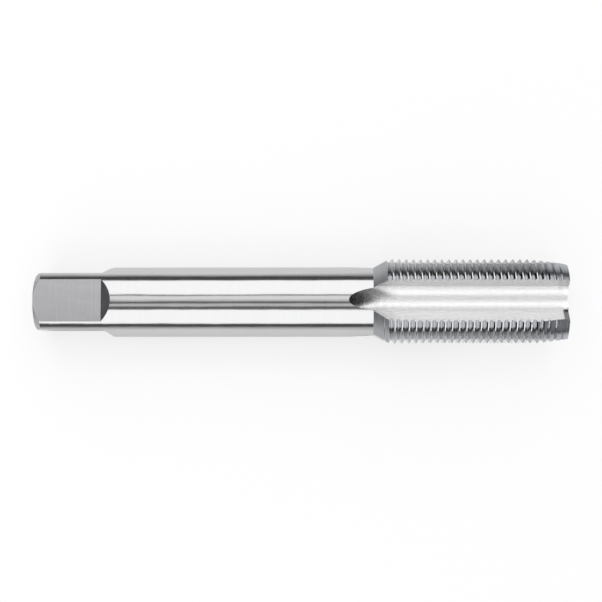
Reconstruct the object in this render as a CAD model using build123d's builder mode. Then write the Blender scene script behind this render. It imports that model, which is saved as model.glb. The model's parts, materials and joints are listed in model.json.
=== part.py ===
from build123d import *

import os
from math import acos, asin, atan2, ceil, cos, degrees, radians, sin, sqrt, tan

# A straight-fluted, right-hand hand tap, ground from one bar. Millimetres.
# It is modelled upright, axis on Z, the end of its drive square at Z = 0 and its cutting tip
# at the top, with one flute on +X. Then it is laid down along X as it would come to rest.

# Overall form
overall_length = 113.5
shank_diameter = 15.0
thread_diameter = 20.0
thread_length = 37.5  # at full diameter, lead included
back_chamfer_length = 3.55  # cone between the shank and the thread

# Thread form
thread_pitch = 1.5
thread_angle = 60.0
thread_depth = 0.92
thread_root_flat = 0.25
groove_run_in = 1.5  # turns of the groove ahead of the full diameter, out over the cone

# Lead: the taper at the tip, eased from each cutting edge back to the heel
lead_length = 6.2
lead_tip_diameter = 18.1
lead_relief = 0.3

# Flutes
flute_count = 4
core_diameter = 9.6
flute_opening_angle = 55.0  # from cutting edge to heel, about the axis
flute_heel_angle = 42.0  # lean of the heel flank from the flute's middle line
rake_root_radius = 3.4
heel_root_radius = 2.8
flute_length = 30.9  # level floor, from the tip to where the wheel begins to lift out
flute_wheel_radius = 45.0
heel_bevel_length = 1.2
heel_bevel_depth = 0.5

# Drive square
square_across_flats = 12.0
square_length = 14.6
square_shoulder_length = 2.2
square_turn = 2.0  # degrees past the flutes; nothing on a tap lines the two up
drive_end_chamfer = 1.5

# Centre holes in both ends
centre_pilot_diameter = 2.5
centre_countersink_diameter = 5.3
centre_hole_depth = 5.0
centre_angle = 60.0

# How far a cutter reaches past the surface that it leaves through
overrun = 1.0

# Radii and places that follow from the sizes
shank_radius = shank_diameter / 2
thread_radius = thread_diameter / 2
root_radius = thread_radius - thread_depth
core_radius = core_diameter / 2
flat_distance = square_across_flats / 2
thread_start = overall_length - thread_length
shank_end = thread_start - back_chamfer_length
shank_start = square_length + square_shoulder_length
land_spacing = 360 / flute_count
half_opening = flute_opening_angle / 2
land_angle = land_spacing - flute_opening_angle

# Section of one flute across the axis: a radial rake face, a level floor and a leaning heel
flute_top = thread_radius + overrun
rake_foot = Vector(core_radius, -core_radius * tan(radians(half_opening)))
rake_top = Vector(flute_top, -flute_top * tan(radians(half_opening)))
heel_edge = Vector(thread_radius, 0).rotate(Axis.Z, half_opening)
heel_slope = tan(radians(flute_heel_angle))
heel_foot = Vector(core_radius, heel_edge.Y - (heel_edge.X - core_radius) * heel_slope)
heel_top = Vector(flute_top, heel_edge.Y + (flute_top - heel_edge.X) * heel_slope)

# Flute cutter: the section runs level down from the tip, then out along the wheel's rim
floor_end = overall_length - flute_length
wheel_centre = core_radius + flute_wheel_radius
wheel_axis = Axis((wheel_centre, 0, floor_end), (0, -1, 0))
lift_out_angle = degrees(acos((wheel_centre - flute_top) / flute_wheel_radius))
with BuildPart() as flute_cutter:
    with BuildSketch(Plane.XY.offset(floor_end)) as flute_section:
        with BuildLine():
            Polyline(rake_top, rake_foot, heel_foot, heel_top, close=True)
        make_face()
        corners = flute_section.vertices()
        fillet(corners.sort_by_distance(rake_foot)[0], rake_root_radius)
        fillet(corners.sort_by_distance(heel_foot)[0], heel_root_radius)
    extrude(amount=flute_length + overrun)
    revolve(flute_section.sketch, axis=wheel_axis, revolution_arc=lift_out_angle)

# Lead cutter: what stands outside a cone about an axis shifted towards the cutting edge, so
# that the lead of one land falls away to its heel
lead_slope = (thread_diameter - lead_tip_diameter) / 2 / lead_length
relief_shift = lead_relief / 2 / sin(radians(land_angle / 2))
relief_centre = Vector(relief_shift, 0).rotate(Axis.Z, land_spacing / 2 + 90)
lead_tip_radius = (lead_tip_diameter - lead_relief) / 2
lead_run = (thread_radius + lead_relief - lead_tip_radius) / lead_slope
lead_outer_radius = thread_radius + lead_relief + overrun
with BuildPart() as lead_cutter:
    with BuildSketch(Plane(relief_centre, x_dir=(1, 0, 0), z_dir=(0, -1, 0))):
        with BuildLine():
            Polyline(
                (lead_tip_radius - overrun * lead_slope, overall_length + overrun),
                (thread_radius + lead_relief, overall_length - lead_run),
                (lead_outer_radius, overall_length - lead_run),
                (lead_outer_radius, overall_length + overrun),
                close=True,
            )
        make_face()
    revolve(axis=Axis(relief_centre, (0, 0, 1)), revolution_arc=land_spacing)

# Groove cutter: one pass of the thread groove over one land, from flute to flute
groove_angle = land_angle + half_opening
groove_start_angle = (land_spacing - groove_angle) / 2
groove_clearance = 0.1  # less than closes the gap between one turn and the next
groove_reach = thread_depth + groove_clearance
half_root = thread_root_flat / 2
half_mouth = half_root + groove_reach * tan(radians(thread_angle / 2))
with BuildPart() as groove_cutter:
    with BuildLine() as groove_path:
        Helix(pitch=thread_pitch, height=thread_pitch * groove_angle / 360, radius=root_radius)
    with BuildSketch(Plane.XZ):
        with BuildLine():
            Polyline(
                (root_radius, -half_root),
                (root_radius + groove_reach, -half_mouth),
                (root_radius + groove_reach, half_mouth),
                (root_radius, half_root),
                close=True,
            )
        make_face()
    sweep(path=groove_path.line, is_frenet=True)

# Every place where the groove crosses a land, one turn above the other
groove_start = thread_start - groove_run_in * thread_pitch
groove_turns = ceil((overall_length - groove_start) / thread_pitch) + 1
groove_places = []
for turn in range(groove_turns):
    for land in range(flute_count):
        angle = land * land_spacing + groove_start_angle
        height = groove_start + (turn + angle / 360) * thread_pitch
        groove_places.append(Location((0, 0, height), (0, 0, angle)))

# Heel bevel cutter: a small bevel where the heel flank meets the end face
heel_along = Vector(1, 0).rotate(Axis.Z, flute_heel_angle)
heel_inward = Vector(0, 1).rotate(Axis.Z, flute_heel_angle)
heel_root_reach = heel_root_radius / tan(radians(90 + flute_heel_angle) / 2)
bevel_start = heel_foot + heel_along * heel_root_reach + Vector(0, 0, overall_length)
bevel_overrun = heel_bevel_depth * overrun / heel_bevel_length
with BuildPart() as heel_bevel_cutter:
    with BuildSketch(Plane(bevel_start, x_dir=heel_inward, z_dir=heel_along)):
        with BuildLine():
            Polyline(
                (-overrun, -heel_bevel_length),
                (0, -heel_bevel_length),
                (heel_bevel_depth + bevel_overrun, overrun),
                (-overrun, overrun),
                close=True,
            )
        make_face()
    extrude(amount=(heel_top - heel_foot).length - heel_root_reach)

# Square cutter: what stands outside one flat, up to a shoulder that slopes out to the shank
shoulder_slope = square_shoulder_length / (shank_radius - flat_distance)
flat_cutter_radius = shank_radius + overrun
shoulder_end = square_length + (flat_cutter_radius - flat_distance) * shoulder_slope
with BuildPart() as flat_cutter:
    with BuildSketch(Plane.XZ):
        with BuildLine():
            Polyline(
                (flat_distance, -overrun),
                (flat_distance, square_length),
                (flat_cutter_radius, shoulder_end),
                (flat_cutter_radius, -overrun),
                close=True,
            )
        make_face()
    extrude(amount=shank_diameter / 2, both=True)

# The tap: a turned blank, then every cut in it
with BuildPart() as upright_tap:
    with BuildSketch(Plane.XZ):
        with BuildLine():
            Polyline(
                (0, 0),
                (shank_radius - drive_end_chamfer, 0),
                (shank_radius, drive_end_chamfer),
                (shank_radius, shank_end),
                (thread_radius, thread_start),
                (thread_radius, overall_length),
                (0, overall_length),
                close=True,
            )
        make_face()
    revolve(axis=Axis.Z)
    with PolarLocations(0, 4, start_angle=-square_turn):
        add(flat_cutter.part, mode=Mode.SUBTRACT)
    with PolarLocations(0, flute_count):
        add(lead_cutter.part, mode=Mode.SUBTRACT)
        add(flute_cutter.part, mode=Mode.SUBTRACT)
        add(heel_bevel_cutter.part, mode=Mode.SUBTRACT)
    with Locations(*groove_places):
        add(groove_cutter.part, mode=Mode.SUBTRACT)
    with Locations(Location((0, 0, overall_length)), Location((0, 0, 0), (180, 0, 0))):
        CounterSinkHole(
            centre_pilot_diameter / 2,
            centre_countersink_diameter / 2,
            centre_hole_depth,
            centre_angle,
        )

# At rest it lies on the crests beside its lowest flute and on the start of its round shank
crest_turns = ceil(groove_run_in - 0.5) + 0.5 - groove_run_in + half_opening / 360
first_full_crest = thread_start + crest_turns * thread_pitch
crest_run_out = max(0, floor_end - first_full_crest)
crest_lift = flute_wheel_radius - sqrt(flute_wheel_radius**2 - crest_run_out**2)
heel_reach = heel_edge.X - heel_edge.Y / heel_slope + crest_lift
heel_turn = degrees(asin(heel_reach * sin(radians(flute_heel_angle)) / thread_radius))
crest_edge_angle = flute_heel_angle - heel_turn
land_edge_drop = thread_radius * cos(radians(crest_edge_angle)) - shank_radius
rest_tilt = atan2(land_edge_drop, first_full_crest - shank_start)
rest_height = shank_radius * cos(rest_tilt) - shank_start * sin(rest_tilt)
rest_place = Location(
    (-overall_length * cos(rest_tilt) / 2, 0, rest_height),
    (0, 90 - degrees(rest_tilt), 0),
)
with BuildPart() as thread_tap:
    with Locations(rest_place):
        add(upright_tap.part)

os.makedirs("parts", exist_ok=True)
thread_tap.part.label = "thread_tap"
export_step(thread_tap.part, "parts/thread_tap.step")
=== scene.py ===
import json
from math import acos, atan2, ceil, cos, pi, radians, sin, tan

import bpy
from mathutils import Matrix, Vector


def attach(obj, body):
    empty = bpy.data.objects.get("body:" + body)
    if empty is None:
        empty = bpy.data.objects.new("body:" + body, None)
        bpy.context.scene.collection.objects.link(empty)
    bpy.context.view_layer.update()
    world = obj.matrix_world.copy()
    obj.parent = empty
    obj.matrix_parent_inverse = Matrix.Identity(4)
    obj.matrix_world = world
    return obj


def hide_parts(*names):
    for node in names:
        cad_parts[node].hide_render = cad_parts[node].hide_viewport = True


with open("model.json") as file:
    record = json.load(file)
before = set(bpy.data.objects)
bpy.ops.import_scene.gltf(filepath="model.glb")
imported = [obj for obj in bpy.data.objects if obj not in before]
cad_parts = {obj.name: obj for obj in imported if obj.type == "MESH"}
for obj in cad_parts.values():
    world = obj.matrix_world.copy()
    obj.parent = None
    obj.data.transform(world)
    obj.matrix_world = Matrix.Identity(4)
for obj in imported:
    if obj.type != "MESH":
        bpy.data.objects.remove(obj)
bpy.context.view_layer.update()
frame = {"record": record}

scene = bpy.context.scene
mm = 0.001

# Where the tap lies: the centres of its two ends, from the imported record
mounts = {mount["name"]: mount for mount in frame["record"]["mounts"]}
driveEnd = Vector(mounts["drive_end_centre"]["pos_m"])
tipEnd = Vector(mounts["tip_centre"]["pos_m"])
axisDirection = (tipEnd - driveEnd).normalized()
restTurn = atan2(axisDirection.x, axisDirection.z)  # about Y, from upright


def addNode(tree, kind, settings=None, links=None):
    # Links go by a socket's name, or its number where names repeat. A source that is a node stands
    # for its first output, and one that is a value is set.
    node = tree.nodes.new(kind)
    for name, value in (settings or {}).items():
        setattr(node, name, value)
    for socket, source in (links or {}).items():
        if hasattr(source, "outputs"):
            source = next(output for output in source.outputs if output.enabled)
        if hasattr(source, "is_output"):
            tree.links.new(source, node.inputs[socket])
        else:
            node.inputs[socket].default_value = source
    return node


# A colour mix's inputs by number, because the node's other kinds of mix share their names
mixFactor, mixFirst, mixSecond = 0, 6, 7


def linearColour(hexColour):
    # From sRGB, with full alpha
    parts = [int(hexColour[i : i + 2], 16) / 255 for i in (1, 3, 5)]
    return tuple(p / 12.92 if p <= 0.04045 else ((p + 0.055) / 1.055) ** 2.4 for p in parts) + (1.0,)


# Finishes
# All of it is hardened high speed steel, a bare metal that is a little darker and bluer than
# chrome. What tells its faces apart is the lay of the grinding marks: light spreads across them.
# A lay is round the axis, along it, or in rings on a face that is square to it.
# spacing and run are a mark's width across its lay and its length along it, depth is how deep it
# is, all in mm. Real marks are 0.02 to 0.05 mm wide, too fine to show, so these are coarser.
# streaks and tone are the shares by which the roughness and the colour change from mark to mark.
finishes = {
    "shank": {
        "name": "highSpeedSteelCylindricalGround",  # fine rings: sharp bands along the bar
        "colour": "#c6c6c7", "roughness": 0.16, "anisotropy": 0.7, "streaks": 0.1,
        "lay": "round", "spacing": 0.25, "run": 9.0, "depth": 0.0006, "tone": 0.02,
    },
    "flats": {
        "name": "highSpeedSteelSurfaceGround",  # straight marks across each flat: even grey
        "colour": "#c3c3c5", "roughness": 0.3, "anisotropy": 0.6, "streaks": 0.15,
        "lay": "round", "spacing": 0.35, "run": 8.0, "depth": 0.002, "tone": 0.1,
    },
    "shoulder": {
        "name": "highSpeedSteelMilled",  # coarser marks of the milling cutter's corner: darker
        "colour": "#b2b3b5", "roughness": 0.3, "anisotropy": 0.3, "streaks": 0.15,
        "lay": "round", "spacing": 0.45, "run": 5.0, "depth": 0.003, "tone": 0.12,
    },
    "turned": {
        "name": "highSpeedSteelTurned",  # rings left by the lathe tool: dull silver
        "colour": "#a8a9ac", "roughness": 0.38, "anisotropy": 0.4, "streaks": 0.15,
        "lay": "rings", "spacing": 0.3, "run": 12.0, "depth": 0.002, "tone": 0.08,
    },
    "flute": {
        "name": "highSpeedSteelFluteGroundPaintedLight",  # long scratches along the flute: satin; painted light: coloured near white, lighter than the rest of the steel
        "colour": "#efefef", "roughness": 0.265, "anisotropy": 1.0, "streaks": 0.16,
        "lay": "along", "spacing": 0.22, "run": 25.0, "depth": 0.002, "tone": 0.04,
    },
    "rake": {
        "name": "highSpeedSteelRakeGround",  # ground again for the cutting edge: a shade darker
        "colour": "#dadada", "roughness": 0.28, "anisotropy": 0.9, "streaks": 0.16,
        "lay": "along", "spacing": 0.22, "run": 25.0, "depth": 0.002, "tone": 0.04,
    },
    "crests": {
        "name": "highSpeedSteelBlankGround",  # what is left of the ground blank: thin bright lines
        "colour": "#cbccce", "roughness": 0.15, "anisotropy": 0.3, "streaks": 0.2,
        "lay": "round", "spacing": 0.3, "run": 4.0, "depth": 0.001, "tone": 0.08,
    },
    "groove": {
        "name": "highSpeedSteelThreadGround",  # flanks fresh from the thread wheel: crisp, clean
        "colour": "#d2d3d5", "roughness": 0.1, "anisotropy": 0.3, "streaks": 0.2,
        "lay": "round", "spacing": 0.3, "run": 4.0, "depth": 0.001, "tone": 0.08,
    },
    "root": {
        "name": "highSpeedSteelThreadRootPaintedShade",  # painted shade: the groove's root is coloured darker than its flanks, so it shows no line of light
        "colour": "#a0a1a4", "roughness": 0.2, "anisotropy": 0.3, "streaks": 0.2,
        "lay": "round", "spacing": 0.3, "run": 4.0, "depth": 0.002, "tone": 0.15,
    },
    "lead": {
        "name": "highSpeedSteelReliefGroundPaintedReflection",  # newest grinding; painted reflection: a shade bluer, the tint of a bluish reflection
        "colour": "#d8dbe2", "roughness": 0.2, "anisotropy": 0.4, "streaks": 0.2,
        "lay": "round", "spacing": 0.3, "run": 3.0, "depth": 0.002, "tone": 0.12,
    },
}

# Noise that draws the marks, and how much of its range counts
marking = {"detail": 3.0, "roughness": 0.6, "low": 0.25, "high": 0.75}
# The wheel's slow waver under the marks, which lets long reflections swim a little: swells in a mm
# across and along the axis, and their height in mm
waver = {"density": (0.35, 0.35, 0.09), "height": 0.03, "detail": 2.0}


def steelMaterial(finish):
    material = bpy.data.materials.new(finish["name"])
    material.use_nodes = True
    tree = material.node_tree
    shader = tree.nodes["Principled BSDF"]
    # Upright coordinates in mm: Z along the axis from the drive end
    upright = addNode(tree, "ShaderNodeMapping", {"vector_type": "TEXTURE"}, {
        "Vector": addNode(tree, "ShaderNodeTexCoord").outputs["Object"],
        "Location": driveEnd,
        "Rotation": (0, restTurn, 0),
        "Scale": (mm, mm, mm),
    })
    # How dense the marks are along X, Y and Z, and the direction that light spreads in
    across, run = 1 / finish["spacing"], 1 / finish["run"]
    place, density = upright, (run, run, across)
    if finish["lay"] == "along":
        density = (across, across, run)
        normal = addNode(tree, "ShaderNodeNewGeometry").outputs["Normal"]
        spread = addNode(tree, "ShaderNodeVectorMath", {"operation": "CROSS_PRODUCT"}, {
            0: normal, 1: axisDirection,
        })
    else:
        spread = addNode(tree, "ShaderNodeCombineXYZ", {}, dict(zip("XYZ", axisDirection)))
    if finish["lay"] == "rings":
        # Distance from the axis in place of X
        split = addNode(tree, "ShaderNodeSeparateXYZ", {}, {"Vector": upright}).outputs
        section = addNode(tree, "ShaderNodeCombineXYZ", {}, {"X": split["X"], "Y": split["Y"]})
        radius = addNode(tree, "ShaderNodeVectorMath", {"operation": "LENGTH"}, {0: section})
        place = addNode(tree, "ShaderNodeCombineXYZ", {}, {"X": radius, "Z": split["Z"]})
        density = (across, 0, across)
    pattern = addNode(tree, "ShaderNodeVectorMath", {"operation": "MULTIPLY"}, {
        0: place, 1: density,
    })
    marks = addNode(tree, "ShaderNodeTexNoise", {}, {
        "Vector": pattern, "Scale": 1.0,
        "Detail": marking["detail"], "Roughness": marking["roughness"],
    })
    levels = {"Value": marks, "From Min": marking["low"], "From Max": marking["high"]}
    shade = addNode(tree, "ShaderNodeMapRange", {}, levels | {
        "To Min": 1 - finish["tone"], "To Max": 1 + finish["tone"],
    })
    colour = addNode(tree, "ShaderNodeVectorMath", {"operation": "SCALE"}, {
        0: linearColour(finish["colour"])[:3], "Scale": shade,
    })
    roughness = addNode(tree, "ShaderNodeMapRange", {}, levels | {
        "To Min": finish["roughness"] * (1 - finish["streaks"]),
        "To Max": finish["roughness"] * (1 + finish["streaks"]),
    })
    slow = addNode(tree, "ShaderNodeVectorMath", {"operation": "MULTIPLY"}, {
        0: upright, 1: waver["density"],
    })
    swell = addNode(tree, "ShaderNodeTexNoise", {}, {
        "Vector": slow, "Scale": 1.0, "Detail": waver["detail"],
    })
    swollen = addNode(tree, "ShaderNodeBump", {}, {
        "Height": swell, "Distance": waver["height"] * mm, "Strength": 1.0,
    })
    bump = addNode(tree, "ShaderNodeBump", {}, {
        "Height": marks, "Distance": finish["depth"] * mm, "Strength": 1.0, "Normal": swollen,
    })
    for socket, source in {
        "Base Color": colour, "Roughness": roughness, "Normal": bump, "Tangent": spread,
    }.items():
        tree.links.new(source.outputs[0], shader.inputs[socket])
    shader.inputs["Metallic"].default_value = 1.0
    shader.inputs["Anisotropic"].default_value = finish["anisotropy"]
    return material


steel = {part: steelMaterial(finish) for part, finish in finishes.items()}
print("finishes made:", len(steel))

# Thread tap
# Millimetres, upright: axis on Z, drive end at 0, a flute on +X.
tap = {
    "overallLength": 113.5,
    "shankDiameter": 15.0,
    "threadDiameter": 20.0,
    "threadLength": 37.5,
    "backChamferLength": 3.55,
    "threadPitch": 1.5,
    "threadAngle": 60.0,
    "threadDepth": 0.92,
    "threadRootFlat": 0.25,
    "threadRootLean": 25.0,  # a face of the groove that leans less than this is its root
    "threadClearance": 0.1,  # how far the groove's section stands out of the crests
    "grooveRunIn": 1.5,  # turns ahead of the full thread
    "leadLength": 6.2,
    "leadTipDiameter": 18.1,
    "leadRelief": 0.3,
    "fluteCount": 4,
    "coreDiameter": 9.6,
    "fluteOpeningAngle": 55.0,
    "fluteHeelAngle": 42.0,
    "rakeRootRadius": 3.4,
    "rakeLandAngle": 12.0,  # how far the rake face's own grinding runs into the root radius
    "heelRootRadius": 2.8,
    "fluteLength": 30.9,
    "fluteWheelRadius": 45.0,
    "heelBevelLength": 1.2,
    "heelBevelDepth": 0.5,
    "squareFlats": 4,
    "squareAcrossFlats": 12.0,
    "squareLength": 14.6,
    "squareShoulderLength": 2.2,
    "squareTurn": 2.0,  # degrees past the flutes
    "squareCornerGap": 0.2,  # from the end of a pass over one flat to the next flat's face
    "driveEndChamfer": 1.5,
    "centrePilotDiameter": 2.5,
    "centreCountersinkDiameter": 5.3,
    "centreHoleDepth": 5.0,
    "centreAngle": 60.0,
    "overrun": 1.0,  # how far a cutter reaches past the face that it leaves through
    "roundSteps": 288,  # sides of the turned blank
    "threadSteps": 144,  # steps in a turn of the thread
    "liftOutSteps": 40,  # steps along the wheel's rim, where a flute runs out
    "rootSteps": 12,  # steps in a flute's root radius
    "leadSteps": 64,  # steps round the lead of a land
    "sharpAngle": 6.5,  # edges bent more than this stay crisp
}


def polar(radius, angle, height=0.0):
    return Vector((radius * cos(radians(angle)), radius * sin(radians(angle)), height))


def treeSizes(tap):
    # The sizes that the tree's nodes take, worked out from those above
    over = tap["overrun"]
    length = tap["overallLength"]
    shank, thread = tap["shankDiameter"] / 2, tap["threadDiameter"] / 2
    core, flat = tap["coreDiameter"] / 2, tap["squareAcrossFlats"] / 2
    threadStart = length - tap["threadLength"]
    shankEnd = threadStart - tap["backChamferLength"]
    chamfer = tap["driveEndChamfer"]
    half = tap["fluteOpeningAngle"] / 2
    landSpacing = 360 / tap["fluteCount"]
    landAngle = landSpacing - tap["fluteOpeningAngle"]
    # Flute section, seen from the tip, measured out from the middle of its floor
    top = thread + over
    lean = tap["fluteHeelAngle"]
    heelSlope = tan(radians(lean))
    heelEdge = polar(thread, half)
    heelFoot = Vector((core, heelEdge.y - (heelEdge.x - core) * heelSlope, 0))
    heelTop = Vector((top, heelEdge.y + (top - heelEdge.x) * heelSlope, 0))
    wheelCentre = core + tap["fluteWheelRadius"]
    # Groove section, out from the root
    reach = tap["threadDepth"] + tap["threadClearance"]
    halfRoot = tap["threadRootFlat"] / 2
    halfMouth = halfRoot + reach * tan(radians(tap["threadAngle"] / 2))
    grooveStart = threadStart - tap["grooveRunIn"] * tap["threadPitch"]
    turns = ceil((length - grooveStart) / tap["threadPitch"]) + 1
    # Lead: a cone about an axis that is shifted towards the cutting edge
    slope = (tap["threadDiameter"] - tap["leadTipDiameter"]) / 2 / tap["leadLength"]
    shift = tap["leadRelief"] / 2 / sin(radians(landAngle / 2))
    tipRadius = (tap["leadTipDiameter"] - tap["leadRelief"]) / 2
    leadTop = thread + tap["leadRelief"]
    run = (leadTop - tipRadius) / slope
    # Heel bevel, from where the heel flank leaves its fillet
    flankStart = tap["heelRootRadius"] / tan(radians(90 + lean) / 2)
    bevelStart = heelFoot + polar(flankStart, lean, length)
    bevelEnd = heelTop + polar(0, lean, length)
    bevelOver = tap["heelBevelDepth"] * over / tap["heelBevelLength"]
    # Square
    shoulderSlope = tap["squareShoulderLength"] / (shank - flat)
    flatTop = shank + over
    # Centre holes
    sink = tap["centreCountersinkDiameter"] / 2
    pilot = tap["centrePilotDiameter"] / 2
    coneSlope = tan(radians(tap["centreAngle"] / 2))
    return {
        "Blank Corner 1": (shank - chamfer, 0, 0),
        "Blank Corner 2": (shank, 0, chamfer),
        "Blank Corner 3": (shank, 0, shankEnd),
        "Blank Corner 4": (thread, 0, threadStart),
        "Blank Corner 5": (thread, 0, length),
        "Shank End": shankEnd,
        "Thread Start": threadStart,
        "Drive End Chamfer": chamfer,
        "Round Steps": tap["roundSteps"],
        "Flat Corner 1": (flat, -over, 0),
        "Flat Corner 2": (flatTop, -over, 0),
        "Flat Corner 3": (flatTop, tap["squareLength"] + (flatTop - flat) * shoulderSlope, 0),
        "Flat Corner 4": (flat, tap["squareLength"], 0),
        "Flat Pass Start": (0, flat - tap["squareCornerGap"], 0),
        "Flat Pass End": (0, tap["squareCornerGap"] - flat, 0),
        "Square Flats": tap["squareFlats"],
        "Square Length": tap["squareLength"],
        "Square Turn": (0, 0, -radians(tap["squareTurn"])),
        "Flute Count": tap["fluteCount"],
        "Flute Corner 1": (0, core * tan(radians(half)), 0),
        "Flute Corner 2": (0, -heelFoot.y, 0),
        "Flute Corner 3": (top - core, -heelTop.y, 0),
        "Flute Corner 4": (top - core, top * tan(radians(half)), 0),
        "Rake Root Radius": tap["rakeRootRadius"],
        "Rake Facing": -cos(radians(half + tap["rakeLandAngle"])),
        "Heel Root Radius": tap["heelRootRadius"],
        "Root Steps": tap["rootSteps"],
        "Wheel Radius": tap["fluteWheelRadius"],
        "Wheel Centre": (wheelCentre, 0, length - tap["fluteLength"]),
        "Lift Out Angle": acos((wheelCentre - top) / tap["fluteWheelRadius"]),
        "Lift Out Steps": tap["liftOutSteps"],
        "Flute Level Run": tap["fluteLength"] + over,
        "Root Radius": thread - tap["threadDepth"],
        "Root Facing": -cos(radians(tap["threadRootLean"])),
        "Groove Corner 1": (0, -halfRoot, 0),
        "Groove Corner 2": (reach, -halfMouth, 0),
        "Groove Corner 3": (reach, halfMouth, 0),
        "Groove Corner 4": (0, halfRoot, 0),
        "Groove Start": (0, 0, grooveStart),
        "Groove Turns": float(turns),
        "Groove Height": turns * tap["threadPitch"],
        "Thread Steps": tap["threadSteps"],
        "Lead Shift": tuple(polar(shift, landSpacing / 2 + 90)),
        "Lead Start Angle": radians(landSpacing / 2 + landAngle),
        "Lead Sweep": -radians(2 * landAngle),
        "Lead Steps": tap["leadSteps"],
        "Lead Corner 1": (tipRadius - over * slope - thread, length + over, 0),
        "Lead Corner 2": (leadTop - thread, length - run, 0),
        "Lead Corner 3": (leadTop + over - thread, length - run, 0),
        "Lead Corner 4": (leadTop + over - thread, length + over, 0),
        "Thread Radius": thread,
        "Bevel Start": tuple(bevelStart),
        "Bevel End": tuple(bevelEnd),
        "Bevel Inward": tuple(polar(1, 90 + lean)),
        "Bevel Corner 1": (-over, -tap["heelBevelLength"], 0),
        "Bevel Corner 2": (0, -tap["heelBevelLength"], 0),
        "Bevel Corner 3": (tap["heelBevelDepth"] + bevelOver, over, 0),
        "Bevel Corner 4": (-over, over, 0),
        "Centre Corner 1": (sink + over * coneSlope, 0, -over),
        "Centre Corner 2": (pilot, 0, (sink - pilot) / coneSlope),
        "Centre Corner 3": (pilot, 0, tap["centreHoleDepth"]),
        "Overall Length": length,
        "Tip": (0, 0, length),
        "Sharp Angle": radians(tap["sharpAngle"]),
        "Place": tuple(driveEnd),
        "Turn": (0, restTurn, 0),
    }


def socketKind(value):
    if isinstance(value, tuple):
        return "NodeSocketVector"
    return "NodeSocketInt" if isinstance(value, int) else "NodeSocketFloat"


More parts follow.
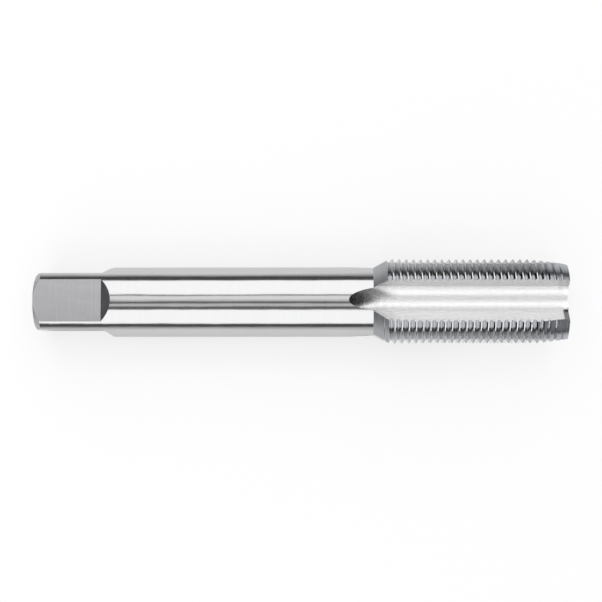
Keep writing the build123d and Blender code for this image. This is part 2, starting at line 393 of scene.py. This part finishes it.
def buildTapTree(sizes):
    tree = bpy.data.node_groups.new("ThreadTap", "GeometryNodeTree")
    for name, value in sizes.items():
        tree.interface.new_socket(name, in_out="INPUT", socket_type=socketKind(value))
    tree.interface.new_socket("Geometry", in_out="OUTPUT", socket_type="NodeSocketGeometry")
    size = addNode(tree, "NodeGroupInput").outputs
    index = addNode(tree, "GeometryNodeInputIndex")
    position = addNode(tree, "GeometryNodeInputPosition")
    normal = addNode(tree, "GeometryNodeInputNormal")
    line = addNode(tree, "GeometryNodeCurvePrimitiveLine")

    def cornersOf(name, count):
        return [size["%s Corner %d" % (name, number)] for number in range(1, count + 1)]

    def turned(corners, finish):
        # A solid turned about Z, from corners given as (radius, 0, height)
        corner = addNode(tree, "GeometryNodeIndexSwitch", {"data_type": "VECTOR"}, {"Index": index})
        while len(corner.index_switch_items) < len(corners):
            corner.index_switch_items.new()
        for number, place in enumerate(corners, 1):
            tree.links.new(place, corner.inputs[number])
        split = addNode(tree, "ShaderNodeSeparateXYZ", {}, {"Vector": corner}).outputs
        points = addNode(tree, "GeometryNodeResampleCurve", {}, {
            "Curve": line, "Count": len(corners),
        })
        path = addNode(tree, "GeometryNodeSetPosition", {}, {
            "Geometry": points,
            "Position": addNode(tree, "ShaderNodeCombineXYZ", {}, {"Z": split["Z"]}),
        })
        ring = addNode(tree, "GeometryNodeCurvePrimitiveCircle", {}, {
            "Resolution": size["Round Steps"], "Radius": 1.0,
        })
        solid = addNode(tree, "GeometryNodeCurveToMesh", {}, {
            "Curve": path, "Profile Curve": ring, "Scale": split["X"], "Fill Caps": True,
        })
        return addNode(tree, "GeometryNodeSetMaterial", {}, {
            "Geometry": solid, "Material": steel[finish],
        })

    def swept(path, outward, corners, finish, radius=None):
        # A bar along a path, its section given as (outward, across), its corners rounded if asked
        aimed = addNode(tree, "GeometryNodeSetCurveNormal", {"mode": "FREE"}, {
            "Curve": path, "Normal": outward,
        })
        section = addNode(tree, "GeometryNodeCurvePrimitiveQuadrilateral", {"mode": "POINTS"}, {
            "Point %d" % number: corner for number, corner in enumerate(corners, 1)
        })
        if radius:
            section = addNode(tree, "GeometryNodeFilletCurve", {"mode": "POLY"}, {
                "Curve": section, "Count": size["Root Steps"], "Radius": radius,
            })
        solid = addNode(tree, "GeometryNodeCurveToMesh", {}, {
            "Curve": aimed, "Profile Curve": section, "Fill Caps": True,
        })
        return addNode(tree, "GeometryNodeSetMaterial", {}, {
            "Geometry": solid, "Material": steel[finish],
        })

    def finishedBetween(low, high, geometry, finish):
        # A finish for the faces whose middle lies between two heights
        height = addNode(tree, "ShaderNodeSeparateXYZ", {}, {"Vector": position}).outputs["Z"]
        above = addNode(tree, "ShaderNodeMath", {"operation": "GREATER_THAN"}, {0: height, 1: low})
        below = addNode(tree, "ShaderNodeMath", {"operation": "LESS_THAN"}, {0: height, 1: high})
        both = addNode(tree, "ShaderNodeMath", {"operation": "MULTIPLY"}, {0: above, 1: below})
        return addNode(tree, "GeometryNodeSetMaterial", {}, {
            "Geometry": geometry, "Selection": both, "Material": steel[finish],
        })

    def roundTheAxis(cutter, count):
        # Copies of a cutter, evenly turned about Z
        step = addNode(tree, "ShaderNodeMath", {"operation": "DIVIDE"}, {0: 2 * pi, 1: count})
        angle = addNode(tree, "ShaderNodeMath", {"operation": "MULTIPLY"}, {0: index, 1: step})
        copies = addNode(tree, "GeometryNodeInstanceOnPoints", {}, {
            "Points": addNode(tree, "GeometryNodePoints", {}, {"Count": count}),
            "Instance": cutter,
            "Rotation": addNode(tree, "ShaderNodeCombineXYZ", {}, {"Z": angle}),
        })
        return addNode(tree, "GeometryNodeRealizeInstances", {}, {"Geometry": copies})

    # Turned blank: drive end with its chamfer, shank, cone and thread, each with its own finish
    blank = turned(cornersOf("Blank", 5), "turned")
    blank = finishedBetween(size["Drive End Chamfer"], size["Shank End"], blank, "shank")
    blank = finishedBetween(size["Thread Start"], size["Overall Length"], blank, "crests")

    # Square: a straight pass over each flat, and up the shoulder
    flatPass = addNode(tree, "GeometryNodeCurvePrimitiveLine", {}, {
        "Start": size["Flat Pass Start"], "End": size["Flat Pass End"],
    })
    flatCutter = swept(flatPass, (1, 0, 0), cornersOf("Flat", 4), "flats")
    flatCutter = finishedBetween(size["Square Length"], size["Shank End"], flatCutter, "shoulder")
    flatCutter = addNode(tree, "GeometryNodeTransform", {}, {
        "Geometry": flatCutter, "Rotation": size["Square Turn"],
    })
    flatCutters = roundTheAxis(flatCutter, size["Square Flats"])

    # Flutes: the wheel's section comes in level from the tip and lifts out along its rim. The
    # path's first point is the far end of the level run, and the others are on the rim.
    rimIndex = addNode(tree, "ShaderNodeMath", {"operation": "SUBTRACT"}, {0: index, 1: 1.0})
    rimIndex = addNode(tree, "ShaderNodeMath", {"operation": "MAXIMUM"}, {0: rimIndex, 1: 0.0})
    rimStep = addNode(tree, "ShaderNodeMath", {"operation": "DIVIDE"}, {
        0: size["Lift Out Angle"], 1: size["Lift Out Steps"],
    })
    angle = addNode(tree, "ShaderNodeMath", {"operation": "MULTIPLY"}, {0: rimIndex, 1: rimStep})
    inward = addNode(tree, "ShaderNodeCombineXYZ", {}, {
        "X": addNode(tree, "ShaderNodeMath", {"operation": "COSINE"}, {0: angle}),
        "Z": addNode(tree, "ShaderNodeMath", {"operation": "SINE"}, {0: angle}),
    })
    rim = addNode(tree, "ShaderNodeVectorMath", {"operation": "SCALE"}, {
        0: inward, "Scale": size["Wheel Radius"],
    })
    rim = addNode(tree, "ShaderNodeVectorMath", {"operation": "SUBTRACT"}, {
        0: size["Wheel Centre"], 1: rim,
    })
    first = addNode(tree, "ShaderNodeMath", {"operation": "LESS_THAN"}, {0: index, 1: 0.5})
    levelRun = addNode(tree, "ShaderNodeMath", {"operation": "MULTIPLY"}, {
        0: first, 1: size["Flute Level Run"],
    })
    pathPoints = addNode(tree, "ShaderNodeMath", {"operation": "ADD"}, {
        0: size["Lift Out Steps"], 1: 2.0,
    })
    wheelPath = addNode(tree, "GeometryNodeSetPosition", {}, {
        "Geometry": addNode(tree, "GeometryNodeResampleCurve", {}, {
            "Curve": line, "Count": pathPoints,
        }),
        "Position": rim,
        "Offset": addNode(tree, "ShaderNodeCombineXYZ", {}, {"Z": levelRun}),
    })
    # The section's first corner is the rake's root and its second the heel's, the others are sharp
    rootRadius = addNode(tree, "GeometryNodeIndexSwitch", {"data_type": "FLOAT"}, {
        "Index": index, 1: size["Rake Root Radius"], 2: size["Heel Root Radius"],
    })
    fluteCutter = swept(wheelPath, inward, cornersOf("Flute", 4), "flute", rootRadius)
    rakeSide = addNode(tree, "ShaderNodeMath", {"operation": "LESS_THAN"}, {
        0: addNode(tree, "ShaderNodeSeparateXYZ", {}, {"Vector": normal}).outputs["Y"],
        1: size["Rake Facing"],
    })
    fluteCutter = addNode(tree, "GeometryNodeSetMaterial", {}, {
        "Geometry": fluteCutter, "Selection": rakeSide, "Material": steel["rake"],
    })
    fluteCutters = roundTheAxis(fluteCutter, size["Flute Count"])

    # Thread: one right-hand groove from out over the cone to past the tip
    helix = addNode(tree, "GeometryNodeCurveSpiral", {}, {
        "Resolution": size["Thread Steps"],
        "Rotations": size["Groove Turns"],
        "Start Radius": size["Root Radius"],
        "End Radius": size["Root Radius"],
        "Height": size["Groove Height"],
        "Reverse": True,
    })
    outward = addNode(tree, "ShaderNodeVectorMath", {"operation": "MULTIPLY"}, {
        0: position, 1: (1, 1, 0),
    })
    groove = swept(helix, outward, cornersOf("Groove", 4), "groove")
    # How squarely a face looks away from the axis: the root's looks straight at it
    facing = addNode(tree, "ShaderNodeVectorMath", {"operation": "DOT_PRODUCT"}, {
        0: normal,
        1: addNode(tree, "ShaderNodeVectorMath", {"operation": "NORMALIZE"}, {0: outward}),
    })
    rootSide = addNode(tree, "ShaderNodeMath", {"operation": "LESS_THAN"}, {
        0: facing, 1: size["Root Facing"],
    })
    groove = addNode(tree, "GeometryNodeSetMaterial", {}, {
        "Geometry": groove, "Selection": rootSide, "Material": steel["root"],
    })
    groove = addNode(tree, "GeometryNodeTransform", {}, {
        "Geometry": groove, "Translation": size["Groove Start"],
    })

    # Lead: each land is eased from its cutting edge to its heel
    leadArc = addNode(tree, "GeometryNodeCurveArc", {"mode": "RADIUS"}, {
        "Resolution": size["Lead Steps"],
        "Radius": size["Thread Radius"],
        "Start Angle": size["Lead Start Angle"],
        "Sweep Angle": size["Lead Sweep"],
    })
    leadCutter = swept(leadArc, position, cornersOf("Lead", 4), "lead")
    leadCutter = addNode(tree, "GeometryNodeTransform", {}, {
        "Geometry": leadCutter, "Translation": size["Lead Shift"],
    })
    leadCutters = roundTheAxis(leadCutter, size["Flute Count"])

    # Heel bevels at the tip
    bevelPass = addNode(tree, "GeometryNodeCurvePrimitiveLine", {}, {
        "Start": size["Bevel Start"], "End": size["Bevel End"],
    })
    bevelCutter = swept(bevelPass, size["Bevel Inward"], cornersOf("Bevel", 4), "shoulder")
    bevelCutters = roundTheAxis(bevelCutter, size["Flute Count"])

    # Centre holes in both ends
    driveCentre = turned(cornersOf("Centre", 3), "turned")
    tipCentre = addNode(tree, "GeometryNodeTransform", {}, {
        "Geometry": driveCentre, "Translation": size["Tip"], "Rotation": (pi, 0, 0),
    })

    # Every cutter is a plain mesh with its finish by now, and the boolean keeps that finish
    solid = blank
    for cutter in (
        flatCutters, leadCutters, groove, fluteCutters, bevelCutters, driveCentre, tipCentre,
    ):
        solid = addNode(tree, "GeometryNodeMeshBoolean", {
            "operation": "DIFFERENCE", "solver": "MANIFOLD",
        }, {"Mesh 1": solid, "Mesh 2": cutter})

    # Crisp edges, then down into the frame: metres, lying along X
    smooth = addNode(tree, "ShaderNodeMath", {"operation": "LESS_THAN"}, {
        0: addNode(tree, "GeometryNodeInputMeshEdgeAngle"), 1: size["Sharp Angle"],
    })
    solid = addNode(tree, "GeometryNodeSetShadeSmooth", {"domain": "EDGE"}, {
        "Geometry": solid, "Shade Smooth": smooth,
    })
    solid = addNode(tree, "GeometryNodeSetShadeSmooth", {"domain": "FACE"}, {
        "Geometry": solid, "Shade Smooth": True,
    })
    solid = addNode(tree, "GeometryNodeTransform", {}, {
        "Geometry": solid,
        "Translation": size["Place"],
        "Rotation": size["Turn"],
        "Scale": (mm, mm, mm),
    })
    addNode(tree, "NodeGroupOutput", {}, {"Geometry": solid})
    return tree


def makeTap(tap):
    sizes = treeSizes(tap)
    tree = buildTapTree(sizes)
    piece = bpy.data.objects.new("tap", bpy.data.meshes.new("tap"))
    scene.collection.objects.link(piece)
    modifier = piece.modifiers.new("Tap", "NODES")
    modifier.node_group = tree
    for item in tree.interface.items_tree:
        if item.in_out == "INPUT":
            modifier[item.identifier] = sizes[item.name]
    ready = piece.evaluated_get(bpy.context.evaluated_depsgraph_get())
    mesh = bpy.data.meshes.new_from_object(ready)
    piece.modifiers.remove(modifier)
    while mesh.materials[0] is None:
        mesh.materials.pop(index=0)  # the blank's own empty slot
    piece.data = mesh
    mesh.name = "tap"
    return piece


tapPiece = makeTap(tap)
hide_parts("thread_tap")
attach(tapPiece, "root")
print("tap made:", len(tapPiece.data.polygons), "faces in", len(tapPiece.data.materials), "finishes")

# Camera
camera = {
    "target": (0.00023, 0.00024, 0.0085),
    "elevation": 88.0,  # degrees above the floor
    "distance": 0.2955,  # from the target, in metres as all of the stage is
    "frameAngle": 24.8,  # degrees across the view
    "clip": (0.01, 20.0),
}
cameraObject = bpy.data.objects.new("camera", bpy.data.cameras.new("camera"))
scene.collection.objects.link(cameraObject)
rise = radians(camera["elevation"])
aim = Vector((0, cos(rise), -sin(rise)))
cameraObject.location = Vector(camera["target"]) - aim * camera["distance"]
cameraObject.rotation_euler = aim.to_track_quat("-Z", "Y").to_euler()
cameraObject.data.angle = radians(camera["frameAngle"])
cameraObject.data.clip_start, cameraObject.data.clip_end = camera["clip"]
scene.camera = cameraObject

# Floor
floor = {
    "size": 6.0,
    "colour": "#f2f2f2",
    "cameraDiffuse": 0.35,  # lit share of the floor near the tap, the rest is plain white
    # Painted light, as the steel sees it: a painted pool of light round the tap, then painted shade,
    # darker, more so behind
    "paintedPoolColour": "#f4f4f4",
    "paintedShadeFront": "#949494",
    "paintedShadeBack": "#303030",
    "poolCentre": (-0.025, 0, 0),
    "poolRadius": 0.052,
}
bpy.ops.mesh.primitive_plane_add(size=floor["size"])
floorObject = bpy.context.object
floorObject.name = "floor"
paper = bpy.data.materials.new("mattePaperSweep")  # uncoated paper: no shine, soft shadows
paper.use_nodes = True
tree = paper.node_tree
tree.nodes.clear()
ray = addNode(tree, "ShaderNodeLightPath").outputs
place = addNode(tree, "ShaderNodeTexCoord").outputs["Object"]
# Painted shade beyond the pool: a darker grey in front of the tap, darker still behind it
side = addNode(tree, "ShaderNodeMapRange", {}, {
    "Value": addNode(tree, "ShaderNodeSeparateXYZ", {}, {"Vector": place}).outputs["Y"],
    "From Min": -floor["poolRadius"],
    "From Max": floor["poolRadius"],
})
beyond = addNode(tree, "ShaderNodeMix", {"data_type": "RGBA"}, {
    mixFactor: side,
    mixFirst: linearColour(floor["paintedShadeFront"]),
    mixSecond: linearColour(floor["paintedShadeBack"]),
})
away = addNode(tree, "ShaderNodeVectorMath", {"operation": "DISTANCE"}, {
    0: place, 1: floor["poolCentre"],
}).outputs["Value"]
near = addNode(tree, "ShaderNodeMath", {"operation": "DIVIDE", "use_clamp": True}, {
    0: floor["poolRadius"], 1: away,
})
# Painted pool of light round the tap, over the painted shade. Below, only glossy rays see it; other
# rays see the plain floor colour
pool = addNode(tree, "ShaderNodeMix", {"data_type": "RGBA"}, {
    mixFactor: near, mixFirst: beyond, mixSecond: linearColour(floor["paintedPoolColour"]),
})
seen = addNode(tree, "ShaderNodeMix", {"data_type": "RGBA"}, {
    mixFactor: ray["Is Glossy Ray"], mixFirst: linearColour(floor["colour"]), mixSecond: pool,
})
litShare = addNode(tree, "ShaderNodeMath", {"operation": "MULTIPLY"}, {
    0: near, 1: floor["cameraDiffuse"],
})
whiteShare = addNode(tree, "ShaderNodeMath", {"operation": "SUBTRACT"}, {0: 1.0, 1: litShare})
paperShader = addNode(tree, "ShaderNodeMixShader", {}, {
    0: addNode(tree, "ShaderNodeMath", {"operation": "MULTIPLY"}, {
        0: ray["Is Camera Ray"], 1: whiteShare,
    }),
    1: addNode(tree, "ShaderNodeBsdfDiffuse", {}, {"Color": seen}),
    2: addNode(tree, "ShaderNodeEmission", {}, {"Color": (1, 1, 1, 1), "Strength": 1.0}),
})
addNode(tree, "ShaderNodeOutputMaterial", {}, {"Surface": paperShader})
floorObject.data.materials.append(paper)
print("camera and floor made")

# Room: white to the camera, and grey to the steel, which needs dark walls for its dark bands.
# The ranges are of the sine of how far a direction leans towards +X, or rises.
room = {
    "colour": "#717171",
    "lowColour": "#525252",  # the walls under the softboxes
    "lowRange": (0.1, 0.28),
    "darkSide": "#141414",  # beyond the tip, where no softbox stands
    "darkRange": (0.42, 0.48),
}
world = bpy.data.worlds.new("room")
scene.world = world
world.use_nodes = True
tree = world.node_tree
tree.nodes.clear()
direction = addNode(tree, "ShaderNodeSeparateXYZ", {}, {
    "Vector": addNode(tree, "ShaderNodeTexCoord").outputs["Object"],
}).outputs
lean = addNode(tree, "ShaderNodeMapRange", {"interpolation_type": "SMOOTHSTEP"}, {
    "Value": direction["X"], "From Min": room["darkRange"][0], "From Max": room["darkRange"][1],
})
rising = addNode(tree, "ShaderNodeMapRange", {"interpolation_type": "SMOOTHSTEP"}, {
    "Value": direction["Z"], "From Min": room["lowRange"][0], "From Max": room["lowRange"][1],
})
wall = addNode(tree, "ShaderNodeMix", {"data_type": "RGBA"}, {
    mixFactor: rising,
    mixFirst: linearColour(room["lowColour"]),
    mixSecond: linearColour(room["colour"]),
})
wall = addNode(tree, "ShaderNodeMix", {"data_type": "RGBA"}, {
    mixFactor: lean, mixFirst: wall, mixSecond: linearColour(room["darkSide"]),
})
roomShader = addNode(tree, "ShaderNodeMixShader", {}, {
    0: addNode(tree, "ShaderNodeLightPath").outputs["Is Camera Ray"],
    1: addNode(tree, "ShaderNodeBackground", {}, {"Color": wall}),
    2: addNode(tree, "ShaderNodeBackground", {}, {"Color": (1, 1, 1, 1), "Strength": 1.0}),
})
addNode(tree, "ShaderNodeOutputWorld", {}, {"Surface": roomShader})

# Softboxes: each seen in the steel as a band. from and to are angles from overhead towards +Y,
# left and right are places along X in metres.
softboxDistance = 0.6
softboxes = {
    "farSoftbox": {"from": 23.5, "to": 74, "left": -0.45, "right": 0.29, "level": 1.47},
    "nearSoftbox": {"from": -76, "to": -26.5, "left": -0.45, "right": 0.2, "level": 1.47},
    "overheadFar": {"from": 6.5, "to": 19.5, "left": -0.45, "right": 0.29, "level": 1.0},
    "overheadMiddle": {"from": 0.5, "to": 6.5, "left": -0.45, "right": 0.27, "level": 0.65},
    "overheadNear": {"from": -15.8, "to": -6.5, "left": -0.45, "right": 0.27, "level": 0.65},
}
# A broad fill for the floor alone: bare metal only mirrors lamps, and this one it doesn't see
fill = {"height": 0.7, "size": 1.2, "level": 0.86}


def addLamp(name, width, depth, level):
    light = bpy.data.lights.new(name, "AREA")
    light.shape = "RECTANGLE"
    light.size = width
    light.size_y = depth
    light.energy = level * pi * width * depth  # a level of 1 is seen as white
    lamp = bpy.data.objects.new(name, light)
    lamp.visible_camera = False
    scene.collection.objects.link(lamp)
    return lamp


for name, box in softboxes.items():
    middle = radians(box["from"] + box["to"]) / 2
    depth = 2 * softboxDistance * tan(radians(box["to"] - box["from"]) / 2)
    lamp = addLamp(name, box["right"] - box["left"], depth, box["level"])
    sideways = (box["left"] + box["right"]) / 2
    lamp.location = (sideways, softboxDistance * sin(middle), softboxDistance * cos(middle))
    lamp.rotation_euler = (-middle, 0, 0)
fillLamp = addLamp("fill", fill["size"], fill["size"], fill["level"])
fillLamp.location = (0, 0, fill["height"])
fillLamp.visible_glossy = False
print("room and lights made:", len(softboxes) + 1, "lamps")

scene.view_settings.view_transform = "Standard"
